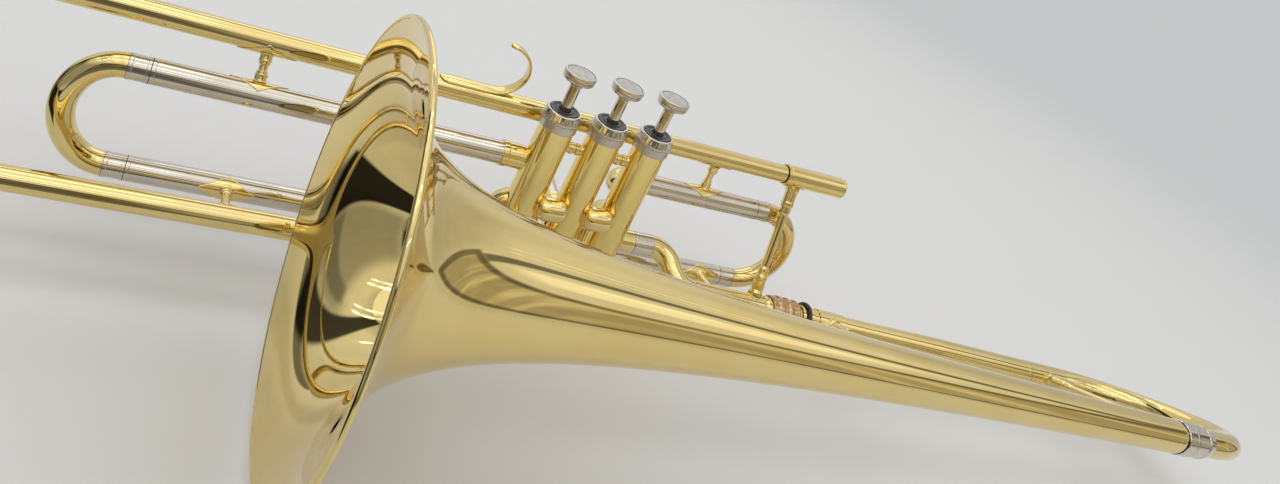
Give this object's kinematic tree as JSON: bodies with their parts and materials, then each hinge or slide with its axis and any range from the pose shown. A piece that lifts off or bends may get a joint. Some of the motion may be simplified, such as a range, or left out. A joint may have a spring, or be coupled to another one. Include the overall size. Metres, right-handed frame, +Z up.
{
  "type": "valve trombone",
  "caption": "Tenor valve trombone in lacquered brass with three piston valves, nickel slide legs, a flared bell and a screw-joined bell section.",
  "frame": {"origin": "centre of the mouthpiece receiver's open end", "axes": "+X forward along the mouthpipe, +Y to the player's left (the bell's side), +Z up along the three valves"},
  "size_m": [1.123, 0.3091, 0.2166],
  "materials": {
    "lacquered_brass": "glossy lacquer",
    "nickel_silver": "polished",
    "copper_bronze": "turned",
    "black_rubber": "gloss",
    "button_inlay": "satin",
    "spring_steel": "bright wire",
    "cork": "matt",
    "monel": "ground"
  },
  "bodies": {
    "valve_section": {"mouthpiece_receiver": "lacquered_brass", "leadpipe": "lacquered_brass", "front_bow": "lacquered_brass", "front_bow_ferrules": "lacquered_brass", "return_tube": "lacquered_brass", "return_elbow": "lacquered_brass", "casing_1": "lacquered_brass", "casing_2": "lacquered_brass", "casing_3": "lacquered_brass", "valve_crooks": "lacquered_brass", "valve_spacers": "lacquered_brass", "exit_elbow": "lacquered_brass", "lower_receiver": "lacquered_brass", "slide_1_braces": "lacquered_brass", "slide_3_braces": "lacquered_brass", "grip_brace": "lacquered_brass", "finger_hook": "lacquered_brass", "water_key_saddle": "lacquered_brass", "exit_sleeve": "nickel_silver", "top_cap_1": "nickel_silver", "top_cap_2": "nickel_silver", "top_cap_3": "nickel_silver", "bottom_caps": "nickel_silver", "slide_1_outer_legs": "nickel_silver", "slide_2_outer_legs": "nickel_silver", "slide_3_outer_legs": "nickel_silver", "cap_felts": "black_rubber", "valve_spring_1": "spring_steel", "valve_spring_2": "spring_steel", "valve_spring_3": "spring_steel"},
    "bell_section": {"bell_flare": "lacquered_brass", "bell_throat": "lacquered_brass", "bell_horn": "lacquered_brass", "bell_tail": "lacquered_brass", "bell_rim": "lacquered_brass", "bell_ferrule": "nickel_silver", "gooseneck": "lacquered_brass", "gooseneck_ring": "black_rubber", "bell_brace_sockets": "lacquered_brass", "bell_brace_rod": "nickel_silver"},
    "tuning_slide": {"tuning_bow": "lacquered_brass", "tuning_legs": "nickel_silver", "tuning_brace": "lacquered_brass"},
    "lock_nut": {"lock_nut": "copper_bronze"},
    "water_key": {"water_key_cork": "cork", "water_key_lever": "lacquered_brass"},
    "valve_1": {"piston_1": "monel", "button_1": "nickel_silver", "button_inlay_1": "button_inlay"},
    "slide_1": {"slide_1_inner_legs": "nickel_silver", "slide_1_bow": "lacquered_brass"},
    "valve_2": {"piston_2": "monel", "button_2": "nickel_silver", "button_inlay_2": "button_inlay"},
    "slide_2": {"slide_2_inner_legs": "nickel_silver", "slide_2_bow": "lacquered_brass"},
    "valve_3": {"piston_3": "monel", "button_3": "nickel_silver", "button_inlay_3": "button_inlay"},
    "slide_3": {"slide_3_inner_legs": "nickel_silver", "slide_3_bow": "lacquered_brass"}
  },
  "joints": [
    {"name": "valve_1_press", "type": "slide", "parent": "valve_section", "child": "valve_1", "axis": [0, 0, -1], "range_m": [0, 0.017], "stiffness_N_per_m": 110, "springref_m": -0.035, "deforming": ["valve_spring_1"]},
    {"name": "valve_2_press", "type": "slide", "parent": "valve_section", "child": "valve_2", "axis": [0, 0, -1], "range_m": [0, 0.017], "stiffness_N_per_m": 110, "springref_m": -0.035, "deforming": ["valve_spring_2"]},
    {"name": "valve_3_press", "type": "slide", "parent": "valve_section", "child": "valve_3", "axis": [0, 0, -1], "range_m": [0, 0.017], "stiffness_N_per_m": 110, "springref_m": -0.035, "deforming": ["valve_spring_3"]},
    {"name": "slide_3_draw", "type": "slide", "parent": "valve_section", "child": "slide_3", "axis": [1, 0, 0], "range_m": [0, 0.08]},
    {"name": "slide_1_draw", "type": "slide", "parent": "valve_section", "child": "slide_1", "axis": [-1, 0, 0], "range_m": [0, 0.045]},
    {"name": "slide_2_draw", "type": "slide", "parent": "valve_section", "child": "slide_2", "axis": [0, -1, 0], "range_m": [0, 0.018]},
    {"name": "bell_section_turn", "type": "hinge", "parent": "valve_section", "child": "bell_section", "pos_m": [0.022, 0.0393, -0.0842], "axis": [0.9982, 0, 0.0593], "range_deg": [-15, 15]},
    {"name": "tuning_slide_draw", "type": "slide", "parent": "bell_section", "child": "tuning_slide", "axis": [-0.9982, 0, -0.0593], "range_m": [0, 0.045]},
    {"name": "lock_nut_turn", "type": "hinge", "parent": "valve_section", "child": "lock_nut", "pos_m": [0.022, 0.0393, -0.0842], "axis": [0.9982, 0, 0.0593], "continuous": true},
    {"name": "water_key_open", "type": "hinge", "parent": "valve_section", "child": "water_key", "pos_m": [0.7765, 0.03541, -0.05053], "axis": [0, 0.819, 0.5738], "range_deg": [0, 25], "stiffness_Nm_per_rad": 0.02, "springref_deg": -28.65}
  ]
}
